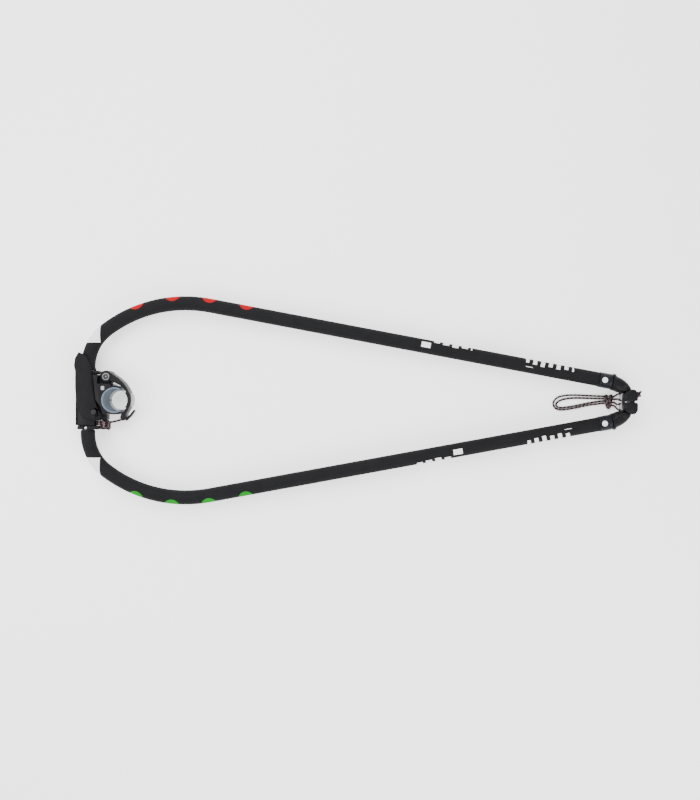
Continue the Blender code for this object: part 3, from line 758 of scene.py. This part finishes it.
def make_arm(name, side, looks):
    forward, outward = leg_axes(side)
    start = leg_point(COLLAR_X[0], side)
    long = (leg_point(COLLAR_X[1], side) - start).length
    body = f"{name}_arm"
    rib = COLLAR_R
    profile = [(0.0148, 0.0), (rib - 0.0006, 0.0), (rib, 0.0007), (rib, 0.0042), (rib - 0.0007, 0.0049),
               (rib - 0.0007, 0.0062), (rib, 0.0069), (rib, long - 0.0016), (rib - 0.0011, long - 0.0004),
               (rib - 0.0018, long), (0.0148, long)]
    collar = turned(profile, start, forward, 72)
    sleeve = add_piece(collar, f"{name}_collar_sleeve", looks["collar"], body,
                       (f"{name}_collar",))
    spot = leg_point(BUTTON_X, side)
    pad = bar((-0.0108, -0.0102, 0.0155), (0.0108, 0.0102, 0.0196), 0.0011)
    turn = Matrix((forward, outward, UP)).transposed().to_4x4()
    bmesh.ops.transform(pad, matrix=Matrix.Translation(spot) @ turn, verts=pad.verts)
    bmesh.ops.recalc_face_normals(pad, faces=pad.faces)
    add_piece(pad, f"{name}_button_pad", looks["collar"], body)
    well_profile = [(0.0, 0.0), (BUTTON_WELL_R, 0.0), (BUTTON_WELL_R, 0.02), (0.0, 0.02)]
    cutter = turned(well_profile, spot + UP * 0.013, UP, 48)
    hole = bpy.data.meshes.new("button_well")
    cutter.to_mesh(hole)
    cutter.free()
    well = bpy.data.objects.new("button_well", hole)
    bpy.context.collection.objects.link(well)
    for piece in (sleeve, bpy.data.objects[f"{name}_button_pad"]):
        cut = piece.modifiers.new("well", "BOOLEAN")
        cut.object = well
        cut.operation = "DIFFERENCE"
        bpy.context.view_layer.update()
        shaped = bpy.data.meshes.new_from_object(piece.evaluated_get(bpy.context.evaluated_depsgraph_get()))
        piece.modifiers.clear()
        piece.data = shaped
    bpy.data.objects.remove(well, do_unlink=True)

    pin = [(0.0, 0.0128), (0.0033, 0.0128), (0.0035, 0.0130), (0.0035, 0.01995), (0.0061, 0.01995)]
    cap = [(0.0061, 0.0176), (0.0064, 0.0176), (0.0067, 0.0179), (0.0067, 0.0203), (0.0064, 0.0207),
           (0.0058, 0.0209), (0.0050, 0.0206), (0.0, 0.0203)]
    bm = turned(pin + cap, spot, UP, 48)
    bmesh.ops.subdivide_edges(bm, edges=bm.edges[:], cuts=2, use_grid_fill=True)
    add_piece(bm, f"{name}_button_cap", looks["button"], f"{name}_button",
              (f"{name}_button",))
    repaint(f"{name}_arm_tube", looks["alloy"])
    repaint(f"{name}_button_spring", looks["steel"])
    repaint(f"{name}_tube_bush", looks["bush"])
    repaint(f"{name}_extension_plug", looks["bush"])


def make_extension(name, side, looks):
    """The sliding tube with its row of pin holes."""
    forward = leg_axes(side)[0]
    end = leg_point(TUBE_END_X, side)
    profile = [(TUBE_BORE, 0.0), (TUBE_R - 0.0004, 0.0), (TUBE_R, 0.0004), (TUBE_R, TUBE_LENGTH - 0.0004),
               (TUBE_R - 0.0004, TUBE_LENGTH), (TUBE_BORE, TUBE_LENGTH)]
    bm = turned(profile, end - forward * TUBE_LENGTH, forward, 56)
    piece = add_piece(bm, f"{name}_sliding_tube", looks["alloy"], f"{name}_extension",
                      (f"{name}_extension_tube",))
    spot = leg_point(BUTTON_X, side)
    pitch = PIN_TRAVEL / (PIN_HOLES - 1)
    holes = bmesh.new()
    for step in range(PIN_HOLES):
        made = bmesh.ops.create_cone(holes, cap_ends=True, cap_tris=False, segments=24,
                                     radius1=PIN_HOLE_R, radius2=PIN_HOLE_R, depth=0.01)
        bmesh.ops.translate(holes, verts=made["verts"], vec=spot - forward * (pitch * step) + UP * 0.012)
    mesh = bpy.data.meshes.new("pin_holes")
    holes.to_mesh(mesh)
    holes.free()
    tool = bpy.data.objects.new("pin_holes", mesh)
    bpy.context.collection.objects.link(tool)
    cut = piece.modifiers.new("holes", "BOOLEAN")
    cut.object = tool
    bpy.context.view_layer.update()
    shaped = bpy.data.meshes.new_from_object(piece.evaluated_get(bpy.context.evaluated_depsgraph_get()))
    piece.modifiers.clear()
    piece.data = shaped
    bpy.data.objects.remove(tool, do_unlink=True)


# ---- head ----
def make_head(looks):
    head = "head"
    refined("head_base", "clamp_head", looks["black"], head, 0.0011)
    refined("front_cover", "lever_bay_cover", looks["black"], head, 0.0006)
    for name in SIDES:
        refined(f"{name}_end_cap", f"{name}_housing_cap", looks["black"], head, 0.0006)
        refined(f"{name}_cap_screw", f"{name}_housing_screw", looks["steel"], head, 0.0003)
    refined("lever_pin", "lever_pivot_pin", looks["dark_steel"], head, 0.0004)
    repaint("jaw_nut", looks["steel"])
    make_cup(looks)
    low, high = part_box("jaw_screw")
    middle = Vector(((low.x + high.x) / 2, (low.y + high.y) / 2, MID))
    top = 0.0236
    profile = [(0.0, -0.0255), (0.0036, -0.0255), (0.004, -0.0251), (0.004, 0.0204), (0.0098, 0.0204),
               (0.0102, 0.0208), (0.0102, top - 0.0012), (0.0098, top - 0.0006), (0.0088, top - 0.0004),
               (0.0084, top - 0.0016), (0.0058, top - 0.0016), (0.0054, top), (0.0034, top),
               (0.0031, top - 0.0018), (0.0, top - 0.0020)]
    add_piece(turned(profile, middle, UP, 64), "jaw_pivot_screw", looks["screw"], head,
              ("jaw_screw",))


def make_cup(looks):
    """Rubber liner of the mast seat: a spun wall with lips, ribs and a painted highlight on its lower lip."""
    bore, outer = CUP_BORE, CUP_R
    low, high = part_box("mast_cup")
    lip = bore - 0.0042
    profile = [(outer, low.z + 0.0004), (outer - 0.0005, low.z), (lip + 0.0006, low.z), (lip, low.z + 0.0006),
               (lip, low.z + 0.0026), (lip + 0.0006, low.z + 0.0034), (bore - 0.0006, low.z + 0.0052),
               (bore, low.z + 0.0066)]
    ribs = 9
    for number in range(ribs):
        height = low.z + 0.014 + number * 0.0064
        profile += [(bore, height - 0.0008), (bore - 0.0005, height), (bore, height + 0.0008)]
    profile += [(bore, high.z - 0.0012), (bore + 0.0008, high.z), (outer - 0.0005, high.z),
                (outer, high.z - 0.0004)]
    bm = bmesh.new()
    start = math.radians(CUP_FROM_DEG)
    verts = [bm.verts.new((MAST.x + r * math.cos(start), r * math.sin(start), z)) for r, z in profile]
    face = bm.faces.new(verts)
    bmesh.ops.spin(bm, geom=[face, *face.edges, *verts], cent=(MAST.x, 0, 0), axis=UP,
                   angle=math.radians(CUP_ROUND_DEG), steps=72)
    bmesh.ops.recalc_face_normals(bm, faces=bm.faces)
    add_piece(bm, "mast_cup_liner", looks["cup"], "head", ("mast_cup",), 50.0)


def make_lever_and_jaw(looks):
    refined("lever", "clamp_lever", looks["lever"], "lever", 0.0012, 4, crown=0.0065)
    refined("jaw_arm", "mast_jaw", looks["jaw"], "jaw", 0.0010)
    refined("jaw_outer_pad", "jaw_wear_pad", looks["pad"], "jaw", 0.0008)
    repaint("jaw_lining", looks["bush"])


# ---- tail ----
def make_knee(name, side, looks):
    """A moulded elbow from the extension's mouth round to the tail body."""
    forward, outward = leg_axes(side)
    mouth = leg_point(ELBOW_X, side)
    frames, marks = [], []
    for shift, radius in ((0.0, 0.0172), (0.0, 0.0198), (0.0006, 0.0203), (0.0042, 0.0203), (0.0050, 0.0194)):
        frames.append(frame_at(mouth + forward * shift, outward, UP, forward, radius))
        marks.append(shift)
    collar_rings = len(frames)
    bend = (((0.6255, 0.0615), (0.6165, 0.0272), 0.0190), ((0.632, 0.0584), (0.6205, 0.0252), 0.0188),
            ((0.6388, 0.0546), (0.6245, 0.0236), 0.0186), ((0.6447, 0.0502), (0.6285, 0.0226), 0.0185),
            ((0.6505, 0.0448), (0.6325, 0.0220), 0.0184), ((0.6552, 0.0388), (0.6365, 0.0217), 0.0183),
            ((0.6580, 0.0335), (0.6402, 0.0222), 0.0182), ((0.6588, 0.0312), (0.6412, 0.0228), 0.0170))
    for outer, inner, tall in bend:
        edge = Vector((outer[0], outer[1] * side, MID))
        root = Vector((inner[0], inner[1] * side, MID))
        half = (edge - root) / 2
        away = half.normalized()
        ahead = Vector((away.y, -away.x, 0)) * side
        frames.append(frame_at((edge + root) / 2, away, UP, ahead, half.length, tall))
        marks.append(marks[-1] + 0.007)
    bm = sweep(frames, marks, 56, squared=collar_rings, power=0.82)
    add_piece(bm, f"{name}_elbow", looks["black"], "tail", (f"{name}_knee",), 50.0)
    repaint(f"{name}_knee_screw", looks["dark_steel"])


def make_tail(looks):
    refined("tail_body", "tail_block", looks["black"], "tail", 0.0009)
    for name, side in SIDES.items():
        make_knee(name, side, looks)
        low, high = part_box(f"{name}_sheave")
        middle = (low + high) / 2
        rim = (high.x - low.x) / 2
        profile = [(0.0031, -0.0065), (rim - 0.0006, -0.0065), (rim, -0.0059), (rim, -0.0032),
                   (rim - 0.0012, -0.0024), (rim - 0.0024, -0.001), (rim - 0.0026, 0.0),
                   (rim - 0.0024, 0.001), (rim - 0.0012, 0.0024), (rim, 0.0032), (rim, 0.0059),
                   (rim - 0.0006, 0.0065), (0.0031, 0.0065)]
        add_piece(turned(profile, middle, UP, 56), f"{name}_rope_sheave", looks["sheave"], f"{name}_sheave",
                  (f"{name}_sheave",))
        refined(f"{name}_sheave_pin", f"{name}_sheave_axle", looks["dark_steel"], "tail", 0.0003)


def build():
    make_stage()
    make_ropes()
    looks = {
        "black": plastic("moulded_black", (0.006, 0.006, 0.007), 0.42),
        "lever": plastic("lever_black", (0.0045, 0.0043, 0.0058), 0.55, 1100.0, 0.00010),
        "jaw": plastic("jaw_black", (0.008, 0.0075, 0.009), 0.42),
        "collar": plastic("collar_plastic", (0.008, 0.0095, 0.013), 0.32, 1800.0, 0.00003),
        "sheave": plastic("sheave_grey", (0.34, 0.35, 0.36), 0.4),
        "pad": rubber("pad_grey", (0.33, 0.35, 0.36)),
        "bush": rubber("bush_rubber", (0.02, 0.02, 0.02), 0.7),
        "cup": cup_rubber(),
        "button": button_finish(),
        "alloy": metal("alloy", (0.06, 0.06, 0.065), 0.35),
        "steel": metal("steel", (0.55, 0.55, 0.56), 0.3, (1.0, 1.0, 1.0)),
        "dark_steel": metal("blackened_steel", (0.03, 0.03, 0.032), 0.45, (1.0, 1.0, 1.0)),
        "screw": screw_finish(),
    }
    dots = [distance_at(x) for x in (-0.5195, -0.438, -0.354)] + [along_at(-0.266)]
    left = foam("foam_red_marks", (0.36, 0.0015, 0.006), dots, 0.1660,
                ((0.184, 0.275, 0.0228, 0.66, 0.95), (0.404, 0.518, 0.0190, 0.50, 1.35)), 0.405)
    right = foam("foam_green_marks", (0.001, 0.22, 0.010), dots, 0.2430,
                 ((0.144, 0.232, 0.0228, 0.66, 0.95), (0.408, 0.516, 0.0190, 0.50, 1.35)), 0.498)
    for name, side, material in (("left", 1, left), ("right", -1, right)):
        make_grip(name, side, material)
        make_arm(name, side, looks)
        make_extension(name, side, looks)
    make_head(looks)
    make_lever_and_jaw(looks)
    make_tail(looks)


build()
